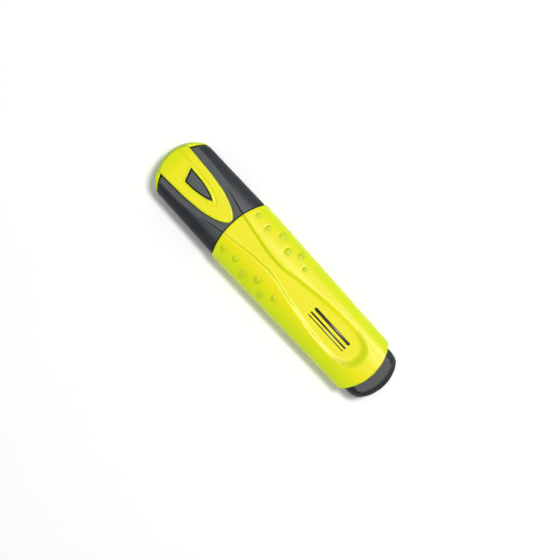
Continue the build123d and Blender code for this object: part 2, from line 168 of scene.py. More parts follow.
def add_mesh(name, points, faces):
    """Mesh object from millimetre points, smooth shaded."""
    mesh = bpy.data.meshes.new(name)
    mesh.from_pydata((np.asarray(points) * MM).tolist(), [], [tuple(map(int, f)) for f in faces])
    mesh.validate()
    mesh.polygons.foreach_set("use_smooth", [True] * len(mesh.polygons))
    mesh.update()
    made = bpy.data.objects.new(name, mesh)
    bpy.context.scene.collection.objects.link(made)
    return made


def ring_faces(rings, count, loop):
    """Quads between consecutive rings of the same number of points."""
    i, j = np.meshgrid(np.arange(rings if loop else rings - 1), np.arange(count), indexing="ij")
    k, m = (i + 1) % rings, (j + 1) % count
    quads = np.stack([i * count + j, i * count + m, k * count + m, k * count + j], -1)
    return quads.reshape(-1, 4)


def skin(name, rings, loop=False):
    """Closed skin over a row of rings: a tube with walls if loop, otherwise capped at both ends."""
    rings = np.array(rings, float)
    rows, count = rings.shape[:2]
    faces = ring_faces(rows, count, loop).tolist()
    if not loop:
        faces.append(list(range(count))[::-1])
        faces.append([(rows - 1) * count + j for j in range(count)])
    made = add_mesh(name, rings.reshape(-1, 3), faces)
    return face_outwards(made)


def face_outwards(made):
    """Turns a closed mesh's faces outwards if its volume comes out negative."""
    mesh = made.data
    mesh.calc_loop_triangles()
    co = np.array([v.co for v in mesh.vertices])
    tri = np.array([t.vertices for t in mesh.loop_triangles])
    a, b, c = co[tri[:, 0]], co[tri[:, 1]], co[tri[:, 2]]
    if np.einsum("ij,ij->i", a, np.cross(b, c)).sum() < 0:
        mesh.flip_normals()
    return made


def mark_points(made, name, values):
    """Stores one number per point of a mesh, for its material to read."""
    layer = made.data.attributes.new(name, "FLOAT", "POINT")
    layer.data.foreach_set("value", np.asarray(values, np.float32))


def points_of(made):
    """Mesh points in millimetres: x, across and rise."""
    co = np.empty(3 * len(made.data.vertices))
    made.data.vertices.foreach_get("co", co)
    return co.reshape(-1, 3).T / MM - np.array([[0], [0], [AXIS_Z]])


def edge_steps(radius, steps=6):
    """(distance from the end, inset) pairs that round an edge, outermost last."""
    angles = np.linspace(0, PI / 2, steps)
    return [(radius * (1 - math.sin(a)), radius * (1 - math.cos(a))) for a in angles]


def section(t, half_width, half_thick, power=POWER):
    """Points of a flat oval at angles t: across and rise."""
    c, s = np.cos(t), np.sin(t)
    across = half_width * np.sign(c) * np.abs(c) ** (2 / power)
    rise = half_thick * np.sign(s) * np.abs(s) ** (2 / power)
    return across, rise


def section_angle(across, half_width, power=POWER):
    """Angle, in the first quarter, at which a flat oval is that far across."""
    return np.arccos(np.clip(across / half_width, 0, 1) ** (power / 2))


def column_angles(half_width, inner, outer, counts):
    """Angles round a section whose columns follow a feature from inner to outer, all four quarters."""
    flank, wall, floor = counts
    t_out, t_in = section_angle(outer, half_width), section_angle(inner, half_width)
    quarter = np.concatenate(
        [
            np.linspace(0, t_out, flank, endpoint=False),
            np.linspace(t_out, t_in, wall, endpoint=False),
            np.linspace(t_in, PI / 2, floor, endpoint=False),
        ]
    )
    top = np.concatenate([quarter, [PI / 2], PI - quarter[:0:-1]])
    return np.concatenate([top, top + PI])


def bore_ring(x_middle, t, size, bow=None):
    """One ring of a bore: its half width and half height, and the plan radius of a bowed end."""
    across, rise = section(t, *size)
    x = x_middle - (bow_drop(across, bow) if bow else 0 * across)
    return np.stack([x, across, rise + AXIS_Z], -1)


# ---- barrel ----

FRONT_HALF_WIDTH = 13.5
REAR_HALF_WIDTH = 12.1
FRONT_BOW = 30.0  # plan radius of the front end
REAR_BOW = 20.7
BARREL_EDGE = 0.5
BARREL_WALL = 1.45
BORE_RISE = 6.3
BORE_DEPTH = 3.0  # the bore follows the front end's bow down to here
MOUTH_DEPTH = 0.5  # the tail's mouth goes this far past the plug
FACE_RISE = 5.0  # what stands higher is on the top or bottom face
REST_LIFT = 0.01  # the flat underneath stays this far off the floor
REST_EDGE = 0.08

CHANNEL = [  # x and distance from the middle, down to the foot
    (30.0, 6.6),
    (22.5, 4.85),
    (18.9, 4.2),
    (15.3, 3.55),
    (11.75, 3.0),
    (8.2, 2.45),
    (2.8, 2.0),
    (0.3, 1.95),
    (-2.6, 2.2),
    (-8.0, 3.35),
    (-13.4, 4.15),
    (-18.8, 4.95),
    (-24.1, 5.75),
    (-29.5, 6.3),
    (-33.1, 6.4),
    (-36.7, 6.2),
    (-40.3, 5.3),
    (-42.6, 3.6),
    (-43.6, 1.5),
    (-43.8, 0.0),
]
FOOT_X = -40.3  # the channel closes behind this
CHANNEL_LINE = curve_through(CHANNEL)
CHANNEL_WIDTH = table([p for p in CHANNEL if p[0] >= FOOT_X])
WALL_HALF = table(  # half the width of the channel's wall, seen from above
    [(-52, 1.9), (-43, 1.75), (-38, 1.25), (-30, 1.05), (-20, 0.85), (-8, 0.6), (8, 0.5), (30, 0.45)]
)
FLOOR_RISE = 7.85  # at x = 0
FLOOR_SLOPE = 0.0063
POLISH_START = -1.0  # the channel's walls are glossier from here
POLISH_END = -37.0  # to here
POLISH_FADE = 3.0
LINE_FADE = 5.0

DOTS = [  # x, distance from the middle, diameter
    (18.0, 8.65, 2.0),
    (12.4, 8.0, 2.2),
    (6.65, 9.9, 2.7),
    (1.6, 7.5, 2.6),
    (-2.8, 10.0, 2.3),
    (-7.1, 7.7, 1.8),
]
DOT_HEIGHT = 0.32
DOT_POWER = 1.3
DOTS_RISE = 2.0  # the dots all stand higher than this
RING_DEPTH = 0.11  # of the ring pressed round a dot
RING_PLACE, RING_WIDTH = 1.14, 0.17  # in shares of the dot's radius
DISC_EDGE, DISC_FADE = 1.32, 0.3  # of the painted shade on and round each dot, in the same shares

BARREL_COLUMNS = (50, 6, 7)  # mesh columns on a quarter's flank, channel wall and channel floor
BARREL_ROWS = [(-46.5, 10), (-41, 16), (-9, 66), (20, 140)]  # mesh rings up to each x
FRONT_ROWS = 8  # and from there to the front
GUIDE_RANGE = (-36, 30)  # the columns follow the channel between these x
GUIDE_LAG = 0.5  # and look it up this far behind the ring's middle, at the front
GUIDE_SHARE = 0.9  # the wall's columns reach at most this share of the way in to the middle
BORE_GUIDE = (4.0, 5.0)  # inner and outer place of a bore ring's wall columns


def barrel_half_width(x):
    share = (x - REAR_X) / (FRONT_X - REAR_X)
    return REAR_HALF_WIDTH + share * (FRONT_HALF_WIDTH - REAR_HALF_WIDTH)


def channel_share(x, across):
    """0 outside the channel, 1 on its floor."""
    away = line_distance(x, np.abs(across), CHANNEL_LINE)
    foot = np.interp(x, CHANNEL_LINE[::-1, 0], CHANNEL_LINE[::-1, 1])
    width = np.where(x < FOOT_X, foot, CHANNEL_WIDTH(x))
    inside = (np.abs(across) < width) & (x > CHANNEL[-1][0])
    signed = np.where(inside, away, -away)
    half = WALL_HALF(x)
    share = np.clip((signed + half) / (2 * half), 0, 1)
    return 0.5 * (share + smoothstep(share))


def dot_shares(x, across):
    """Distance from each grip dot's middle in turn, in shares of its radius."""
    for dot_x, dot_y, diameter in DOTS:
        yield np.hypot(x - dot_x, np.abs(across) - dot_y) / (diameter / 2)


def dot_lift(x, across):
    """Height of the grip dots and the faint ring pressed round each."""
    lift = np.zeros(np.shape(x))
    for share in dot_shares(x, across):
        lift += DOT_HEIGHT * np.maximum(1 - share**2, 0) ** DOT_POWER
        lift -= RING_DEPTH * np.exp(-(((share - RING_PLACE) / RING_WIDTH) ** 2))
    return lift


def dot_disc(x, across):
    """1 on each grip dot and its ring, 0 elsewhere."""
    disc = np.zeros(np.shape(x))
    for share in dot_shares(x, across):
        disc = np.maximum(disc, smoothstep((DISC_EDGE - share) / DISC_FADE))
    return disc


def pushed_out(across, rise, half_width, lift):
    """Points of the barrel's round, moved out along its normal by lift."""
    normal_y = np.sign(across) * (np.abs(across) / half_width) ** (POWER - 1) / half_width
    normal_z = np.sign(rise) * (np.abs(rise) / TOP_RISE) ** (POWER - 1) / TOP_RISE
    size = np.hypot(normal_y, normal_z)
    return across + lift * normal_y / size, rise + lift * normal_z / size


def barrel_ring(x_middle, inset=0.0):
    """One ring of the barrel's outside, drawn in by inset where the ends are rounded."""
    share = (x_middle - REAR_X) / (FRONT_X - REAR_X)

    def bowed(across):
        return x_middle - share * bow_drop(across, FRONT_BOW) + (1 - share) * bow_drop(across, REAR_BOW)

    half_width = barrel_half_width(x_middle)
    guide = CHANNEL_WIDTH(np.clip(x_middle - GUIDE_LAG * share, *GUIDE_RANGE))
    half = min(float(WALL_HALF(x_middle)), GUIDE_SHARE * float(guide))
    t = column_angles(half_width, guide - half, guide + half, BARREL_COLUMNS)
    x = bowed(section(t, half_width, TOP_RISE)[0])
    half_width = barrel_half_width(x)
    across, rise = section(t, half_width - inset, TOP_RISE - inset)
    floor = np.sign(rise) * (FLOOR_RISE + FLOOR_SLOPE * x - inset)
    deep = channel_share(x, across)
    rise = rise + np.where(np.abs(rise) > FACE_RISE, deep * (floor - rise), 0)
    if inset == 0:
        across, rise = pushed_out(across, rise, half_width, dot_lift(x, across))
    rise = soft_max(rise, np.full(np.shape(rise), REST_LIFT - AXIS_Z), REST_EDGE)
    return np.stack([x, across, rise + AXIS_Z], -1)


def ring_places(start, rows, end, last):
    """Places for rings: so many up to each x in rows, and the last ones from there to the end."""
    places = []
    for stop, count in rows:
        places.append(np.linspace(start, stop, count, endpoint=False))
        start = stop
    return np.concatenate([*places, np.linspace(start, end, last)])


def mark_barrel(made):
    """Stores the polished part of the channel's wall, the plain part that gets painted shade, and the
    painted shade on and round the dots.
    """
    x, across, rise = points_of(made)
    deep = np.where(np.abs(rise) > FACE_RISE, channel_share(x, across), 0)
    wall = 4 * deep * (1 - deep)
    polished = smoothstep((POLISH_START - x) / POLISH_FADE) * smoothstep((x - POLISH_END) / LINE_FADE)
    # painted shade: the plain wall ahead of and behind the polished stretch is painted a darker olive
    shaded_front = smoothstep((x - POLISH_START + POLISH_FADE) / LINE_FADE)
    shaded_rear = smoothstep((POLISH_END + POLISH_FADE - x) / LINE_FADE)
    mark_points(made, "channel_wall", wall * polished)
    mark_points(made, "channel_line_shade", wall * (shaded_front + shaded_rear))
    # painted shade: each dot and the ring round it are stored to be painted a darker green
    mark_points(made, "grip_dot_shade", np.where(np.abs(rise) > DOTS_RISE, dot_disc(x, across), 0))


def barrel_piece():
    """Barrel with its channel and dots, rounded at both ends, and its bore."""
    edge = edge_steps(BARREL_EDGE)
    places = ring_places(REAR_X + BARREL_EDGE, BARREL_ROWS, FRONT_X - BARREL_EDGE, FRONT_ROWS)
    rings = [barrel_ring(REAR_X + e, i) for e, i in edge[::-1]]
    rings += [barrel_ring(x) for x in places[1:-1]]
    rings += [barrel_ring(FRONT_X - e, i) for e, i in edge]
    t = column_angles(FRONT_HALF_WIDTH, *BORE_GUIDE, BARREL_COLUMNS)

    def size(x):
        return barrel_half_width(x) - BARREL_WALL, BORE_RISE

    def mouth(x):
        across, rise = plug_section(t, *size(x))
        return np.stack([x + bow_drop(across, REAR_BOW), across, rise + AXIS_Z], -1)

    inside = [bore_ring(x, t, size(x), FRONT_BOW) for x in (FRONT_X, FRONT_X - BORE_DEPTH)]
    inside += [mouth(x) for x in (PLUG_HIGH[0] + MOUTH_DEPTH, REAR_X)]
    made = skin("barrel_body", rings + inside, loop=True)
    mark_barrel(made)
    return made


# ---- cap shell ----

RIM_HALF_WIDTH = 12.9
END_HALF_WIDTH = 12.45
SHELL_RISE = 8.0
RIM_GAP = 0.2  # between the barrel and the cap's rim
RIM_EDGE = 0.3
FIRST_ROW = 0.5  # the first plain ring stands this far from the rim
SHELL_END_EDGE = 0.4
SEAM_BOW = 18.65
LAND_RISE = table(
    [(12, 7.3), (17, 7.3), (26, 7.28), (33.4, 7.22), (38.4, 6.98), (43.3, 6.71), (50, 6.6), (58, 6.45)]
)
VALLEY_WIDTH = table([(12, 3.1), (17, 4.0), (22.5, 4.95), (26, 5.65), (31.5, 7.0), (34, 7.9), (40, 9.5)])
VALLEY_WALL = 0.33
LAND_START = 31.0  # the valley opens out into the land from here
LAND_FADE = 3.0
CREASE_FADE = 2.5
CREASE_HALF = 0.4
CREASE_EDGE = 0.18
SHELL_COLUMNS = (40, 8, 14)  # on a quarter's flank, crease and land
SHELL_ROWS = 110
SHELL_BORE_GUIDE = (5.0, 5.8)
TAPER_X, STOP_X = 16.5, 45.0  # the bore's taper is laid out between these, up to its step
TAPER_BORE, STOP_BORE, END_BORE = (11.3, 6.1), (10.9, 5.1), (11.4, 5.5)  # half width, half height


def shell_half_width(x):
    share = (x - FRONT_X) / (END_X - FRONT_X)
    return RIM_HALF_WIDTH + share * (END_HALF_WIDTH - RIM_HALF_WIDTH)


def land_share(x, across):
    """1 where the shell is cut down to the land, 0 outside the valley near the rim."""
    signed = VALLEY_WIDTH(x) - np.abs(across)
    valley = smoothstep((signed + VALLEY_WALL) / (2 * VALLEY_WALL))
    return np.maximum(valley, smoothstep((x - LAND_START) / LAND_FADE))


def land_crease(x, half_width):
    """How far across the land meets the shell's own round, or the valley's wall stands."""
    level = np.clip(LAND_RISE(x) / SHELL_RISE, 0, 1)
    natural = half_width * (1 - level**POWER) ** (1 / POWER)
    mix = smoothstep((x - LAND_START) / CREASE_FADE)
    return (1 - mix) * VALLEY_WIDTH(x) + mix * natural


def shell_ring(x_middle, inset=0.0):
    """One ring of the cap shell's outside."""
    share = (x_middle - FRONT_X) / (SEAM_X - FRONT_X)
    half_width = shell_half_width(x_middle)

    def bowed(across):
        return x_middle - (1 - share) * bow_drop(across, FRONT_BOW) - share * bow_drop(across, SEAM_BOW)

    guide = land_crease(bowed(land_crease(x_middle, half_width)), half_width)
    t = column_angles(half_width, guide - CREASE_HALF, guide + CREASE_HALF, SHELL_COLUMNS)
    x = bowed(section(t, half_width, SHELL_RISE)[0])
    half_width = shell_half_width(x)
    across, rise = section(t, half_width - inset, SHELL_RISE - inset)
    level = LAND_RISE(x) - inset
    cut = soft_min(np.abs(rise), level, CREASE_EDGE)
    rise = np.sign(rise) * (np.abs(rise) + land_share(x, across) * (cut - np.abs(rise)))
    return np.stack([x, across, rise + AXIS_Z], -1)


def shell_bore(x):
    """Half width and half height of the bore's taper."""
    share = (x - TAPER_X) / (STOP_X - TAPER_X)
    return [wide + share * (narrow - wide) for wide, narrow in zip(TAPER_BORE, STOP_BORE)]


def shell_piece():
    """Cap shell: sleeve with the land and the valley under the clip, and its bore."""
    rim, end = FRONT_X + RIM_GAP, SEAM_X
    rings = [shell_ring(rim + e, i) for e, i in edge_steps(RIM_EDGE)[::-1]]
    rings += [shell_ring(x) for x in np.linspace(rim + FIRST_ROW, end - SHELL_END_EDGE, SHELL_ROWS)]
    rings += [shell_ring(end - e, i) for e, i in edge_steps(SHELL_END_EDGE)]
    t = column_angles(RIM_HALF_WIDTH, *SHELL_BORE_GUIDE, SHELL_COLUMNS)
    rings += [bore_ring(end, t, END_BORE, SEAM_BOW), bore_ring(STOP_X, t, END_BORE)]
    rings += [bore_ring(STOP_X, t, STOP_BORE), bore_ring(rim, t, shell_bore(rim), FRONT_BOW)]
    return skin("cap_sleeve", rings, loop=True)


# ---- end plug ----

PLUG_BOW = 14.9
PLUG_RISE = 6.25
PLUG_EDGE = 2.7
PLUG_PLAN_EDGE = 0.4  # share of the edge's rounding that shows in plan
PLUG_FLAT = 1.22  # its round would stand this much higher if the top were not flat
PLUG_FLAT_EDGE = 0.12
PLUG_GAP = 0.05  # between plug and barrel
PLUG_GUIDE = (10.6, 7.4, 8.4)  # half width, and inner and outer place of the facet's edge
PLUG_COLUMNS = (26, 12, 12)
PLUG_END_SHARES = (0.05, 0.2, 0.4, 0.6, 0.8)  # rings on its end face, from the middle out
PLUG_EDGE_ROWS = 12
PLUG_ROWS = 20
PLUG_FIRST_ROW = 0.4


def plug_section(t, half_width, half_thick):
    """Flat oval planed flat above and below, so that its top is a clear facet."""
    across, rise = section(t, half_width, PLUG_FLAT * half_thick)
    edge = PLUG_FLAT_EDGE * half_thick / PLUG_RISE
    planed = soft_min(np.abs(rise), np.full(np.shape(rise), half_thick), edge)
    return across, np.sign(rise) * planed


def plug_piece():
    """Stopper in the barrel's tail, its end bowed in plan and well rounded."""
    end, inner = PLUG_LOW[0], PLUG_HIGH[0]
    t = column_angles(*PLUG_GUIDE, PLUG_COLUMNS)

    def ring(x_middle, inset, follow):
        half_width = barrel_half_width(x_middle) - BARREL_WALL - PLUG_GAP
        across, rise = plug_section(t, half_width - PLUG_PLAN_EDGE * inset, PLUG_RISE - inset)
        x = x_middle + follow * bow_drop(across, PLUG_BOW)
        return np.stack([x, across, rise + AXIS_Z], -1)

    def end_ring(share):
        half_width = barrel_half_width(end) - BARREL_WALL - PLUG_PLAN_EDGE * PLUG_EDGE
        across, rise = plug_section(t, share * half_width, share * (PLUG_RISE - PLUG_EDGE))
        return np.stack([end + bow_drop(across, PLUG_BOW), across, rise + AXIS_Z], -1)

    rings = [end_ring(share) for share in PLUG_END_SHARES]
    rings += [ring(end + e, i, 1.0) for e, i in edge_steps(PLUG_EDGE, PLUG_EDGE_ROWS)[::-1]]
    places = np.linspace(end + PLUG_EDGE + PLUG_FIRST_ROW, inner, PLUG_ROWS)
    rings += [ring(x, 0.0, (inner - x) / (inner - end)) for x in places]
    return skin("plug_body", rings)


# ---- crown and clip: one moulding, meshed here as one still piece, though the real clip bends at its root ----

CLIP_SIDE = [
    (57.0, 6.86),
    (52.5, 6.85),
    (45.8, 6.55),
    (40.8, 6.3),
    (37.0, 5.85),
    (33.4, 5.4),
    (30.9, 4.8),
    (28.4, 4.05),
    (26.0, 3.0),
    (24.3, 1.95),
    (23.3, 0.95),
    (23.05, 0.0),
]
CLIP_TOP = CLIP_HIGH[2] - AXIS_Z
CLIP_UNDER = 7.75
TONGUE_EDGE = 0.55
UNDER_EDGE = 0.3
PANEL_SIDE = [(56.0, 3.9), (48.0, 3.85), (42.0, 3.7), (38.0, 3.25), (34.5, 2.4), (31.8, 1.1), (30.5, 0.0)]
PANEL_DEPTH = 0.18
PANEL_OUTSET, PANEL_FADE = 0.12, 0.35  # where its wall starts outside its outline, and its width
WINDOW_LEFT = [(44.7, 2.5), (42.5, 2.4), (39.6, 2.12), (35.9, 1.35), (34.0, 0.7), (32.8, 0.0)]
WINDOW_RIGHT = [(32.8, 0.0), (34.0, -0.65), (35.9, -1.3), (39.6, -2.05), (43.0, -2.3), (46.7, -2.45)]
WINDOW_EDGE = 0.35
LIP_WIDTH, LIP_FADE = 0.75, 0.3  # the panel stops short of the window by this
BUMP_X, BUMP_LIFT, BUMP_RADIUS = 28.0, 0.85, 1.15  # the round bar that grips the paper
BUMP_HALF_WIDTH = 2.4
BUMP_SINK = 0.6  # it stays this far under the clip's top
BUMP_EDGE, BUMP_TOP_EDGE = 0.3, 0.2

CROWN_BOW = 13.9  # plan radius of its end
CROWN_CREST = 54.65  # on the axis, where the end turns down
CREST_BOW = 0.03  # how fast the crest falls back to the sides
CREST_MARGIN = 1.5  # the crest stays this far inside the end
CREST_MARK, CREST_FADE = 0.2, 0.8  # where the painted shade on the crown's end sets in
CROWN_SLOPE_X = 49.5  # the top starts to sink here
CROWN_FALL = 0.035
CROWN_UNDER = 4.0  # the clip's root goes down to this rise inside the crown
CROWN_END_POWER = 2.6
CROWN_END_GAIN = 0.85  # keeps the end's field close to a true distance
CROWN_END_EDGE = 0.3
MAX_LEVEL = 1.2  # share of the clip's height past which the end stays put
SEAM_GAP = 0.4
SEAM_EDGE = 0.35
ROOT_FILLET = 0.5

CELL = 0.17  # of the grid that the moulding is meshed on
FIELD_MARGIN = 0.6
FIELD_HALF_WIDTH = 13.1
PLAN_MARGIN = 2
PLAN_HALF_WIDTH = 15.0


def both_sides(side):
    """Closed outline from one side's points and their mirror image."""
    line = curve_through(side)
    other = line[::-1][1:] * np.array([1, -1])
    return np.vstack([line, other])


class Plan:
    """Signed distance from a closed plan outline, worked out once on a grid and read from it."""

    STEP = 0.1

    def __init__(self, line):
        self.low = np.array([CLIP_LOW[0] - PLAN_MARGIN, -PLAN_HALF_WIDTH])
        xs = np.arange(self.low[0], END_X + PLAN_MARGIN, self.STEP)
        ys = np.arange(self.low[1], -self.low[1], self.STEP)
        self.last = np.array([len(xs), len(ys)]) - 1.001  # just short of the last grid line
        self.values = outline_distance(*np.meshgrid(xs, ys, indexing="ij"), line)

    def __call__(self, x, y):
        u = np.clip((x - self.low[0]) / self.STEP, 0, self.last[0])
        v = np.clip((y - self.low[1]) / self.STEP, 0, self.last[1])
        i, j = u.astype(int), v.astype(int)
        a, b = u - i, v - j
        w = self.values
        near = w[i, j] * (1 - b) + w[i, j + 1] * b
        far = w[i + 1, j] * (1 - b) + w[i + 1, j + 1] * b
        return near * (1 - a) + far * a


CLIP_PLAN = Plan(both_sides(CLIP_SIDE))
PANEL_PLAN = Plan(both_sides(PANEL_SIDE))
WINDOW_PLAN = Plan(np.vstack([curve_through(WINDOW_LEFT), curve_through(WINDOW_RIGHT)[1:]]))


def crown_start(y):
    """Where the crown starts at distance y, a little off the shell's end."""
    return SEAM_X + SEAM_GAP - bow_drop(y, SEAM_BOW)


def crown_end_lines(y):
    """Where the crown's end lies at distance y, and where its top turns down to it."""
    silhouette = END_X - bow_drop(y, CROWN_BOW)
    return silhouette, np.minimum(CROWN_CREST - CREST_BOW * y**2, silhouette - CREST_MARGIN)


def crown_field(x, y, rise):
    """The cap's round, from the seam on."""
    half_width = shell_half_width(x)
    total = np.abs(y / half_width) ** POWER + np.abs(rise / SHELL_RISE) ** POWER
    share = (total + TINY) ** (1 / POWER)
    body = (share - 1) * np.hypot(y, rise) / share
    return soft_max(body, crown_start(y) - x, SEAM_EDGE)


def tongue_field(x, y, rise):
    """The clip's tongue and the crown's raised top, with the panel, its lip and the window."""
    plan, panel, window = CLIP_PLAN(x, y), PANEL_PLAN(x, y), WINDOW_PLAN(x, y)
    lip = smoothstep((LIP_WIDTH - window) / LIP_FADE)
    top = CLIP_TOP - PANEL_DEPTH * smoothstep((PANEL_OUTSET - panel) / PANEL_FADE) * (1 - lip)
    top = top - CROWN_FALL * np.square(np.maximum(x - CROWN_SLOPE_X, 0))
    under = np.where(x > crown_start(y), CROWN_UNDER, CLIP_UNDER)
    tongue = soft_max(plan, rise - top, TONGUE_EDGE)
    tongue = soft_max(tongue, under - rise, UNDER_EDGE)
    return soft_max(tongue, -window, WINDOW_EDGE)


def bump_field(x, y, rise):
    """The round bar across the clip's underside."""
    bump = np.hypot(x - BUMP_X, rise - CLIP_UNDER - BUMP_LIFT) - BUMP_RADIUS
    bump = soft_max(bump, np.abs(y) - BUMP_HALF_WIDTH, BUMP_EDGE)
    return soft_max(bump, rise - CLIP_TOP + BUMP_SINK, BUMP_TOP_EDGE)


def moulding_field(p):
    """Rough distance from the crown and clip's surface, negative inside."""
    x, y, rise = p[..., 0], p[..., 1], p[..., 2]
    clip = np.minimum(tongue_field(x, y, rise), bump_field(x, y, rise))
    whole = soft_min(clip, crown_field(x, y, rise), ROOT_FILLET)
    silhouette, crest = crown_end_lines(y)
    level = np.clip(np.abs(rise) / CLIP_TOP, 0, MAX_LEVEL)
    reach = silhouette - (silhouette - crest) * level**CROWN_END_POWER
    return soft_max(whole, (x - reach) * CROWN_END_GAIN, CROWN_END_EDGE)


def cell_points(value, low, cell):
    """A point in each grid cell that the surface crosses, and each cell's number, -1 for none."""
    shape = np.array(value.shape) - 1
    total = np.zeros((*shape, 3))
    hits = np.zeros(shape)
    for near in np.ndindex(2, 2, 2):
        for axis in (a for a in range(3) if near[a] == 0):
            far = list(near)
            far[axis] = 1
            va = value[tuple(slice(o, o + n) for o, n in zip(near, shape))]
            vb = value[tuple(slice(o, o + n) for o, n in zip(far, shape))]
            cross = (va < 0) != (vb < 0)
            offset = np.array(near, float) * np.ones((*shape, 1))
            offset[..., axis] = np.where(cross, va / np.where(cross, va - vb, 1), 0)
            total += offset * cross[..., None]
            hits += cross
    used = hits > 0
    number = np.full(used.shape, -1)
    number[used] = np.arange(used.sum())
    points = np.array(low) + cell * (np.argwhere(used) + total[used] / hits[used][:, None])
    return points, number


def cell_faces(value, number):
    """A quad round each grid edge that the surface crosses."""
    faces = []
    for axis in range(3):
        one, two = [a for a in range(3) if a != axis]
        start = [slice(1, -1)] * 3
        start[axis] = slice(0, -1)
        end = list(start)
        end[axis] = slice(1, None)
        va, vb = value[tuple(start)], value[tuple(end)]
        where = np.argwhere((va < 0) != (vb < 0))
        inside = (va < 0)[tuple(where.T)]
        base = where + 1
        base[:, axis] -= 1
        ring = []
        for d_one, d_two in ((1, 1), (0, 1), (0, 0), (1, 0)):
            at = base.copy()
            at[:, one] -= d_one
            at[:, two] -= d_two
            ring.append(number[tuple(at.T)])
        quads = np.stack(ring, 1)
        quads[~inside] = quads[~inside][:, ::-1]
        faces.append(quads if axis != 1 else quads[:, ::-1])
    return np.vstack(faces)


def nets(field, low, high, cell):
    """Closed quad mesh of a field's zero surface."""
    axes = [np.arange(a, b + cell, cell) for a, b in zip(low, high)]
    grid = np.stack(np.meshgrid(*axes, indexing="ij"), -1)
    value = np.stack([field(layer) for layer in grid])
    points, number = cell_points(value, low, cell)
    return points, cell_faces(value, number)


def settle(points, field, rounds=3, step=0.02, least_slope=0.05, most=0.1):
    """Moves points onto the field's zero surface, none further than most in a round."""
    for _ in range(rounds):
        value = field(points)
        slope = np.empty(points.shape)
        for axis in range(3):
            nudge = np.zeros(3)
            nudge[axis] = step
            slope[:, axis] = (field(points + nudge) - field(points - nudge)) / (2 * step)
        size = np.maximum((slope**2).sum(1), least_slope)
        move = -(value / size)[:, None] * slope
        points = points + np.clip(move, -most, most)
    return points


def moulding_piece():
    """Crown and clip as one closed mesh."""
    low = (CLIP_LOW[0] - FIELD_MARGIN, -FIELD_HALF_WIDTH, -SHELL_RISE - FIELD_MARGIN)
    high = (END_X + FIELD_MARGIN, FIELD_HALF_WIDTH, CLIP_TOP + FIELD_MARGIN)
    points, faces = nets(moulding_field, low, high, CELL)
    points = settle(points, moulding_field)
    points[:, 2] += AXIS_Z
    made = face_outwards(add_mesh("crown_and_clip", points, faces))
    x, across, _ = points_of(made)
    crest = crown_end_lines(across)[1]
    # painted shade: marks the crown's end past its crest, for the material to paint darker and greener
    mark_points(made, "crown_end_shade", smoothstep((x - crest + CREST_MARK) / CREST_FADE))
    return made


# ---- boss in the clip's window ----

BOSS_CENTRE = np.array([41.5, 0.05])
BOSS_ROWS = [  # how far inside the window's outline, rise
    (0.3, 6.2),
    (0.3, 8.5),
    (0.34, 8.67),
    (0.45, 8.77),
    (0.6, 8.8),
    (1.0, 8.8),
]
BOSS_SPAN = 6  # points between two of the outline's own
BOSS_LEAST_STEP = 0.05


def window_boss_piece():
    """Low charcoal boss that stands in the clip's window."""
    left, right = curve_through(WINDOW_LEFT, BOSS_SPAN), curve_through(WINDOW_RIGHT, BOSS_SPAN)
    line = np.vstack([left, right[1:]])
    keep = [0]
    for i in range(1, len(line)):
        if np.hypot(*(line[i] - line[keep[-1]])) > BOSS_LEAST_STEP:
            keep.append(i)
    line = line[keep]
    reach = -outline_distance(*BOSS_CENTRE, line)
    rings = []
    for inset, rise in BOSS_ROWS:
        flat = BOSS_CENTRE + (line - BOSS_CENTRE) * (1 - inset / reach)
        rings.append(np.column_stack([flat, np.full(len(flat), rise + AXIS_Z)]))
    return skin("window_boss", rings)


# ---- nose ----

NECK = (10.6, 5.4)
NOSE_FRONT = [  # x, half width, half height, share of the barrel's front bow
    (NOSE_X, 11.9, 6.25, 0),
    (FRONT_X, 12.0, 6.25, 1),
    (FRONT_X, 10.9, 5.7, 1),
    (FRONT_X + 0.12, 10.7, 5.5, 0.95),
    (FRONT_X + 0.5, *NECK, 0.9),
    (24.0, *NECK, 0.6),
    (26.0, *NECK, 0.3),
    (28.5, *NECK, 0),
    (29.6, *NECK, 0),
    (29.9, 10.52, 5.36, 0),
    (30.2, 10.3, 5.3, 0),
]
CONE_X, CONE_LENGTH, CONE_RADIUS = 30, 4.5, 4.25
CONE_SHARES = np.linspace(0.12, 1, 8)  # rings along the cone
TIP = [(34.6, 4.0), (34.8, 3.9), (40.2, 3.9), (40.6, 3.85), (42.7, 3.55), (43.0, 3.3)]  # x, radius
NOSE_INSIDE = [  # x, half width, half height, section power
    (43.0, 2.75, 1.85, 7.0),
    (42.8, 2.66, 1.76, 9.0),
    (28.5, 2.66, 1.76, 9.0),
    (28.45, 9.3, 4.36, POWER),
    (NOSE_X, 9.35, 4.4, POWER),
]
NOSE_GUIDE = (12.0, 4.0, 5.0)  # half width, and the columns' changeover
NOSE_COLUMNS = (20, 4, 6)


def nose_piece():
    """Front section: skirt, bowed face, neck, cone and tip, hollow for reservoir and nib."""
    t = column_angles(*NOSE_GUIDE, NOSE_COLUMNS)

    def ring(x, half_width, half_thick, power=POWER, bow=0.0):
        across, rise = section(t, half_width, half_thick, power)
        return np.stack([x - bow * bow_drop(across, FRONT_BOW), across, rise + AXIS_Z], -1)

    rings = [ring(x, width, thick, bow=bow) for x, width, thick, bow in NOSE_FRONT]
    for s in CONE_SHARES:
        size = [half + s * (CONE_RADIUS - half) for half in NECK]
        rings.append(ring(CONE_X + CONE_LENGTH * s, *size, POWER + s * (ROUND - POWER)))
    rings += [ring(x, radius, radius, ROUND) for x, radius in TIP]
    rings += [ring(*row) for row in NOSE_INSIDE]
    return skin("nose_section", rings, loop=True)


# ---- printed mark: three plain bars ----

MARK_START, MARK_END = -19.6, -37.6
MARK_BARS = [(2.15, 0.4), (0.85, 0.7), (-1.1, 1.15)]  # distance from the middle, width
MARK_THICK = 0.02
MARK_SINK = 0.01  # the print starts this far under the surface
MARK_ROUND = 9  # points round each end


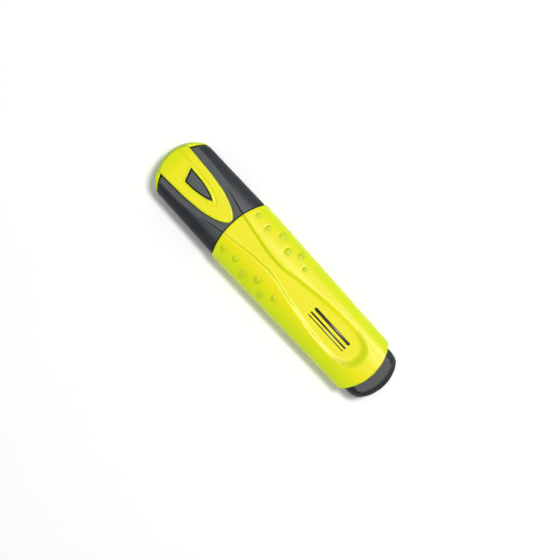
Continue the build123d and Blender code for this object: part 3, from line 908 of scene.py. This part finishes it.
def mark_piece(name, across, width):
    """Thin printed bar with rounded ends, lying on the channel's floor."""
    half = width / 2
    angles = np.linspace(-PI / 2, PI / 2, MARK_ROUND)
    front = [(MARK_START - half + half * math.cos(a), across + half * math.sin(a)) for a in angles]
    rear = [(MARK_END + half - half * math.cos(a), across - half * math.sin(a)) for a in angles]
    outline = np.array(front + rear)
    rings = []
    for lift in (-MARK_SINK, MARK_THICK):
        z = AXIS_Z + FLOOR_RISE + FLOOR_SLOPE * outline[:, 0] + lift
        rings.append(np.column_stack([outline, z]))
    return skin(name, rings)


# ---- materials ----


class Paint:
    """Node tree of one material, with the few helpers that the recipes below share."""

    def __init__(self, name):
        self.material = bpy.data.materials.new(name)
        self.material.use_nodes = True
        self.tree = self.material.node_tree
        self.shader = self.tree.nodes["Principled BSDF"]
        self.place = self.tree.nodes.new("ShaderNodeTexCoord")

    def put(self, node, socket, value):
        """Sets a socket to a number or joins it to another socket."""
        target = node.inputs[socket]
        if isinstance(value, bpy.types.NodeSocket):
            self.tree.links.new(value, target)
        else:
            target.default_value = value

    def set(self, **values):
        """Sets the shader's sockets, a space in a socket's name written as an underscore."""
        for socket, value in values.items():
            self.put(self.shader, socket.replace("_", " "), value)

    def noise(self, scale, detail=3.0, stretch=(1, 1, 1), roughness=0.5):
        """Noise from 0 to 1, fixed to the object, its grain stretched along an axis below 1."""
        mapping = self.tree.nodes.new("ShaderNodeMapping")
        self.put(mapping, "Vector", self.place.outputs["Object"])
        mapping.inputs["Scale"].default_value = stretch
        node = self.tree.nodes.new("ShaderNodeTexNoise")
        self.put(node, "Vector", mapping.outputs["Vector"])
        self.put(node, "Scale", scale)
        self.put(node, "Detail", detail)
        self.put(node, "Roughness", roughness)
        return node.outputs["Fac"]

    def ramp(self, factor, low, high, start=0.0, end=1.0):
        """Number that goes from low to high as factor goes from start to end."""
        node = self.tree.nodes.new("ShaderNodeMapRange")
        sockets = {"Value": factor, "From Min": start, "From Max": end, "To Min": low, "To Max": high}
        for socket, value in sockets.items():
            self.put(node, socket, value)
        return node.outputs["Result"]

    def stored(self, name):
        """Number stored on the mesh under that name; 0 where there is none."""
        node = self.tree.nodes.new("ShaderNodeAttribute")
        node.attribute_name = name
        return node.outputs["Fac"]

    def mix(self, factor, a, b):
        """Colour between a and b."""
        node = self.tree.nodes.new("ShaderNodeMix")
        node.data_type = "RGBA"
        self.put(node, 0, factor)
        for index, value in ((6, a), (7, b)):
            self.put(node, index, value if isinstance(value, bpy.types.NodeSocket) else (*value, 1.0))
        return node.outputs[2]

    def sideways(self, axis, low, high):
        """0 to 1 as the surface's own normal turns along an object axis from low to high."""
        split = self.tree.nodes.new("ShaderNodeSeparateXYZ")
        self.put(split, "Vector", self.place.outputs["Normal"])
        return self.ramp(split.outputs[axis], 0.0, 1.0, low, high)

    def bump(self, height, strength, distance):
        """Fine relief, its distance in metres."""
        node = self.tree.nodes.new("ShaderNodeBump")
        self.put(node, "Height", height)
        self.put(node, "Strength", strength)
        self.put(node, "Distance", distance)
        self.put(self.shader, "Normal", node.outputs["Normal"])


YELLOW = (0.76, 0.70, 0.006)
# painted shade colours, greener and darker than the yellow face
SHADE_LIME = (0.62, 0.71, 0.012)
DEEP_SHADE_LIME = (0.37, 0.56, 0.025)
DOT_SHADE_LIME = (0.42, 0.52, 0.015)
END_SHADE_LIME = (0.50, 0.64, 0.02)
SHADE_OLIVE = (0.52, 0.57, 0.010)
PALE_YELLOW = (0.80, 0.86, 0.02)
# painted glow: green emission on the flanks that lightens them as if lit
LEFT_GLOW = (0.62, 1.0, 0.0)
RIGHT_GLOW = (0.5, 0.8, 0.0)
NO_GLOW = (0.0, 0.0, 0.0)
GLOW = 0.12
# painted light: the charcoal's side colour is the shaded one, its top colour the lit one
SHADED_CHARCOAL_SIDE = (0.020, 0.023, 0.028)
LIT_CHARCOAL_TOP = (0.074, 0.079, 0.082)
CHARCOAL_SPECK = (0.075, 0.080, 0.088)
# painted shade: the plug is a darker copy of the charcoal, and its rounded edges stay dark further in
# towards its flat top
PLUG_SHADE = 0.82
PLUG_FACING = (0.955, 0.999)
MIDDLE = (0.3, 0.7)  # most of a noise's values lie between these
SPECKS = (0.35, 0.75)


def yellow_plastic():
    """Fluorescent yellow moulding with painted shade: greener and darker where its wall turns sideways or
    towards the ends, on the channel's plain walls and round the dots, and a painted green glow on its
    flanks.
    """
    p = Paint("fluorescent_yellow")
    # painted shade: lime where the surface turns sideways to either flank, and where it turns towards the
    # cap's end
    colour = p.mix(p.sideways("Y", 0.17, 0.36), YELLOW, SHADE_LIME)
    colour = p.mix(p.sideways("Y", -0.2, -0.7), colour, SHADE_LIME)
    colour = p.mix(p.sideways("X", 0.06, 0.30), colour, SHADE_LIME)
    # painted shade: the crown's end band, turned away from the light
    colour = p.mix(p.ramp(p.stored("crown_end_shade"), 0.0, 0.9), colour, END_SHADE_LIME)
    # painted shade: deeper lime where the surface faces the cap's end
    colour = p.mix(p.sideways("X", 0.35, 0.85), colour, DEEP_SHADE_LIME)
    # painted shade: darker olive along the channel's plain walls
    colour = p.mix(p.ramp(p.stored("channel_line_shade"), 0.0, 0.85), colour, SHADE_OLIVE)
    # painted shade: darker green on and round each grip dot
    colour = p.mix(p.ramp(p.stored("grip_dot_shade"), 0.0, 0.6), colour, DOT_SHADE_LIME)
    colour = p.mix(p.ramp(p.noise(180.0), 0.0, 0.10, *SPECKS), colour, PALE_YELLOW)
    satin = p.ramp(p.noise(900.0), 0.27, 0.35, *MIDDLE)
    p.set(Base_Color=colour, Roughness=p.ramp(p.stored("channel_wall"), satin, 0.16, 0.1, 0.5), IOR=1.46)
    p.put(p.shader, "Specular IOR Level", 0.12)
    # painted glow: the flanks give off green light, stronger on the left, filling their shade
    glow = p.mix(p.sideways("Y", 0.3, 0.85), NO_GLOW, LEFT_GLOW)
    p.put(p.shader, "Emission Color", p.mix(p.sideways("Y", -0.5, -0.95), glow, RIGHT_GLOW))
    p.put(p.shader, "Emission Strength", GLOW)
    p.bump(p.noise(2600.0, 2.0), 0.08, 0.00004)
    return p.material


def charcoal_plastic(name, shade=1.0, facing=(0.90, 0.99)):
    """Dark satin moulding with a fine spark-eroded grain, with painted light: a little paler where it
    faces up, darker where it turns to the side.
    """
    p = Paint(name)
    side, top, speck = [
        tuple(shade * c for c in colour) for colour in (SHADED_CHARCOAL_SIDE, LIT_CHARCOAL_TOP, CHARCOAL_SPECK)
    ]
    # painted light and shade: paler where the surface faces up, darker where it turns to the side
    colour = p.mix(p.sideways("Z", *facing), side, top)
    colour = p.mix(p.ramp(p.noise(220.0), 0.0, 0.12, *SPECKS), colour, speck)
    p.set(Base_Color=colour, Roughness=p.ramp(p.noise(1500.0), 0.44, 0.56, *MIDDLE))
    p.put(p.shader, "Specular IOR Level", 0.14)
    p.bump(p.noise(4200.0, 2.0), 0.18, 0.00005)
    return p.material


def felt():
    """Bonded fibre nib, soaked with ink, its fibres along the pen."""
    p = Paint("nib_felt")
    fibres = p.noise(2200.0, 4.0, (0.12, 1, 1), 0.6)
    colour = p.mix(p.ramp(fibres, 0.0, 1.0, *MIDDLE), (0.62, 0.78, 0.01), (0.86, 0.9, 0.03))
    p.set(Base_Color=colour, Roughness=p.ramp(fibres, 0.75, 0.95, *MIDDLE))
    p.bump(fibres, 0.6, 0.0001)
    return p.material


def wadding():
    """Loose fibre of the ink reservoir."""
    p = Paint("reservoir_fibre")
    fibres = p.noise(1200.0, 5.0, (0.08, 1, 1), 0.65)
    colour = p.mix(p.ramp(fibres, 0.0, 1.0, *MIDDLE), (0.55, 0.72, 0.03), (0.82, 0.88, 0.12))
    p.set(Base_Color=colour, Roughness=p.ramp(fibres, 0.8, 1.0, *MIDDLE))
    p.bump(fibres, 0.8, 0.0002)
    return p.material


def clear_film():
    """Thin clear wrap with a slightly wavy surface."""
    p = Paint("clear_film")
    colour = p.mix(p.noise(60.0), (0.86, 0.88, 0.9), (0.95, 0.96, 0.97))
    p.set(Base_Color=colour, Roughness=p.ramp(p.noise(300.0), 0.08, 0.22), Alpha=0.4)
    p.bump(p.noise(150.0, 2.0), 0.2, 0.0002)
    return p.material


def milky_plastic():
    """Unpigmented polypropylene of the inner cap."""
    p = Paint("milky_plastic")
    colour = p.mix(p.noise(200.0), (0.74, 0.75, 0.74), (0.82, 0.82, 0.8))
    p.set(Base_Color=colour, Roughness=p.ramp(p.noise(800.0), 0.4, 0.55))
    p.put(p.shader, "Subsurface Weight", 0.15)
    p.put(p.shader, "Subsurface Radius", (0.002, 0.002, 0.002))
    p.put(p.shader, "Subsurface Scale", 1.0)
    p.bump(p.noise(2000.0, 2.0), 0.1, 0.00005)
    return p.material


def print_ink():
    """Dark printing ink, slightly uneven."""
    p = Paint("print_ink")
    colour = p.mix(p.ramp(p.noise(700.0), 0.0, 1.0, *MIDDLE), (0.022, 0.017, 0.008), (0.045, 0.034, 0.012))
    p.set(Base_Color=colour, Roughness=p.ramp(p.noise(1200.0), 0.35, 0.5))
    p.bump(p.noise(3000.0, 2.0), 0.1, 0.00002)
    return p.material


def white_sheet():
    """Matt paper that the pen lies on."""
    p = Paint("white_sheet")
    colour = p.mix(p.ramp(p.noise(40.0), 0.0, 1.0), (0.93, 0.93, 0.93), (0.95, 0.95, 0.95))
    p.set(Base_Color=colour, Roughness=0.9)
    p.put(p.shader, "Specular IOR Level", 0.1)
    return p.material


# ---- put the pieces on the frame ----


def dress(made, body, nodes, material):
    """Finishes a piece: its material, the body it rides, the CAD nodes it stands for, its slot."""
    made.data.materials.clear()
    made.data.materials.append(material)
    if body:
        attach(made, body)
    if nodes:
        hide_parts(*nodes)


yellow = yellow_plastic()
charcoal = charcoal_plastic("charcoal_plastic")
# painted shade: a darker copy of the charcoal for the end plug
plug_charcoal = charcoal_plastic("plug_charcoal", PLUG_SHADE, PLUG_FACING)

dress(barrel_piece(), "pen_body", ["barrel"], yellow)
dress(shell_piece(), "cap", ["cap_shell"], charcoal)
dress(window_boss_piece(), "cap", [], charcoal)
dress(plug_piece(), "pen_body", ["end_plug"], plug_charcoal)
dress(nose_piece(), "pen_body", ["nose"], charcoal)
ink = print_ink()
for i, bar in enumerate(MARK_BARS):
    dress(mark_piece(f"mark_bar_{i + 1}", *bar), "pen_body", [], ink)
moulding = moulding_piece()
dress(moulding, None, ["cap_crown", "clip"], yellow)
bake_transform(moulding)

KEPT = {
    "nib": felt(),
    "ink_reservoir": wadding(),
    "reservoir_film": clear_film(),
    "inner_cap": milky_plastic(),
}
for node, material in KEPT.items():
    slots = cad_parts[node].data.materials
    slots.clear()
    slots.append(material)

# ---- stage, light and camera, in metres ----

CENTRE = (CAD_LOW + CAD_HIGH) / 2
FLOOR_SIZE = 6.0
FLOOR_GAP = 0.00002  # under the lowest point of the part
LIGHTS = [  # name, direction from the pen, distance, width, power
    ("key", (-0.08, -0.26, 1.0), 0.9, 0.17, 5.6),
    ("top", (0.0, 0.0, 1.0), 1.1, 0.5, 1.5),
    ("edge", (-0.6, -1.0, 1.2), 0.6, 0.28, 9.0),
]
GLOSS_ONLY = "edge"  # this light shows in the gloss and lights nothing up
WORLD_STRENGTH = 0.34
RIGHT = Vector((-0.6775, -0.7355, 0)).normalized()  # the picture's own right, seen from above
UP = Vector((0.7355, -0.6775, 0)).normalized()
CAMERA_HEIGHT = 0.5125
CAMERA_RIGHT, CAMERA_DOWN = 0.00165, 0.00377  # how far it stands off the pen's middle
LENS, SENSOR = 90.0, 36.0  # millimetres


def floor_piece():
    bpy.ops.mesh.primitive_plane_add(size=FLOOR_SIZE, location=(CENTRE.x, CENTRE.y, CAD_LOW.z - FLOOR_GAP))
    floor = bpy.context.object
    floor.name = "floor"
    floor.data.materials.append(white_sheet())


def area_light(name, way, distance, width, power):
    """Round light that looks at the pen's middle from that way and distance."""
    data = bpy.data.lights.new(name, "AREA")
    data.shape = "DISK"
    data.size = width
    data.energy = power
    made = bpy.data.objects.new(name, data)
    bpy.context.scene.collection.objects.link(made)
    made.location = CENTRE + Vector(way).normalized() * distance
    made.rotation_euler = (CENTRE - made.location).to_track_quat("-Z", "Y").to_euler()
    made.visible_diffuse = name != GLOSS_ONLY


def world_light():
    world = bpy.data.worlds.new("studio")
    bpy.context.scene.world = world
    world.use_nodes = True
    background = world.node_tree.nodes["Background"]
    background.inputs["Color"].default_value = (1.0, 1.0, 1.0, 1.0)
    background.inputs["Strength"].default_value = WORLD_STRENGTH


def camera():
    """Camera that looks straight down, turned so that the pen lies across the picture."""
    data = bpy.data.cameras.new("camera")
    data.lens = LENS
    data.sensor_width = SENSOR
    data.dof.use_dof = False
    made = bpy.data.objects.new("camera", data)
    bpy.context.scene.collection.objects.link(made)
    offset = RIGHT * CAMERA_RIGHT - UP * CAMERA_DOWN
    place = Vector((CENTRE.x, CENTRE.y, 0)) + offset + Vector((0, 0, CAMERA_HEIGHT))
    turn = Matrix((RIGHT, UP, RIGHT.cross(UP))).transposed()
    made.matrix_world = Matrix.Translation(place) @ turn.to_4x4()
    bpy.context.scene.camera = made


floor_piece()
for light in LIGHTS:
    area_light(*light)
world_light()
camera()
bpy.context.scene.view_settings.view_transform = "Standard"
bpy.context.scene.view_settings.look = "None"
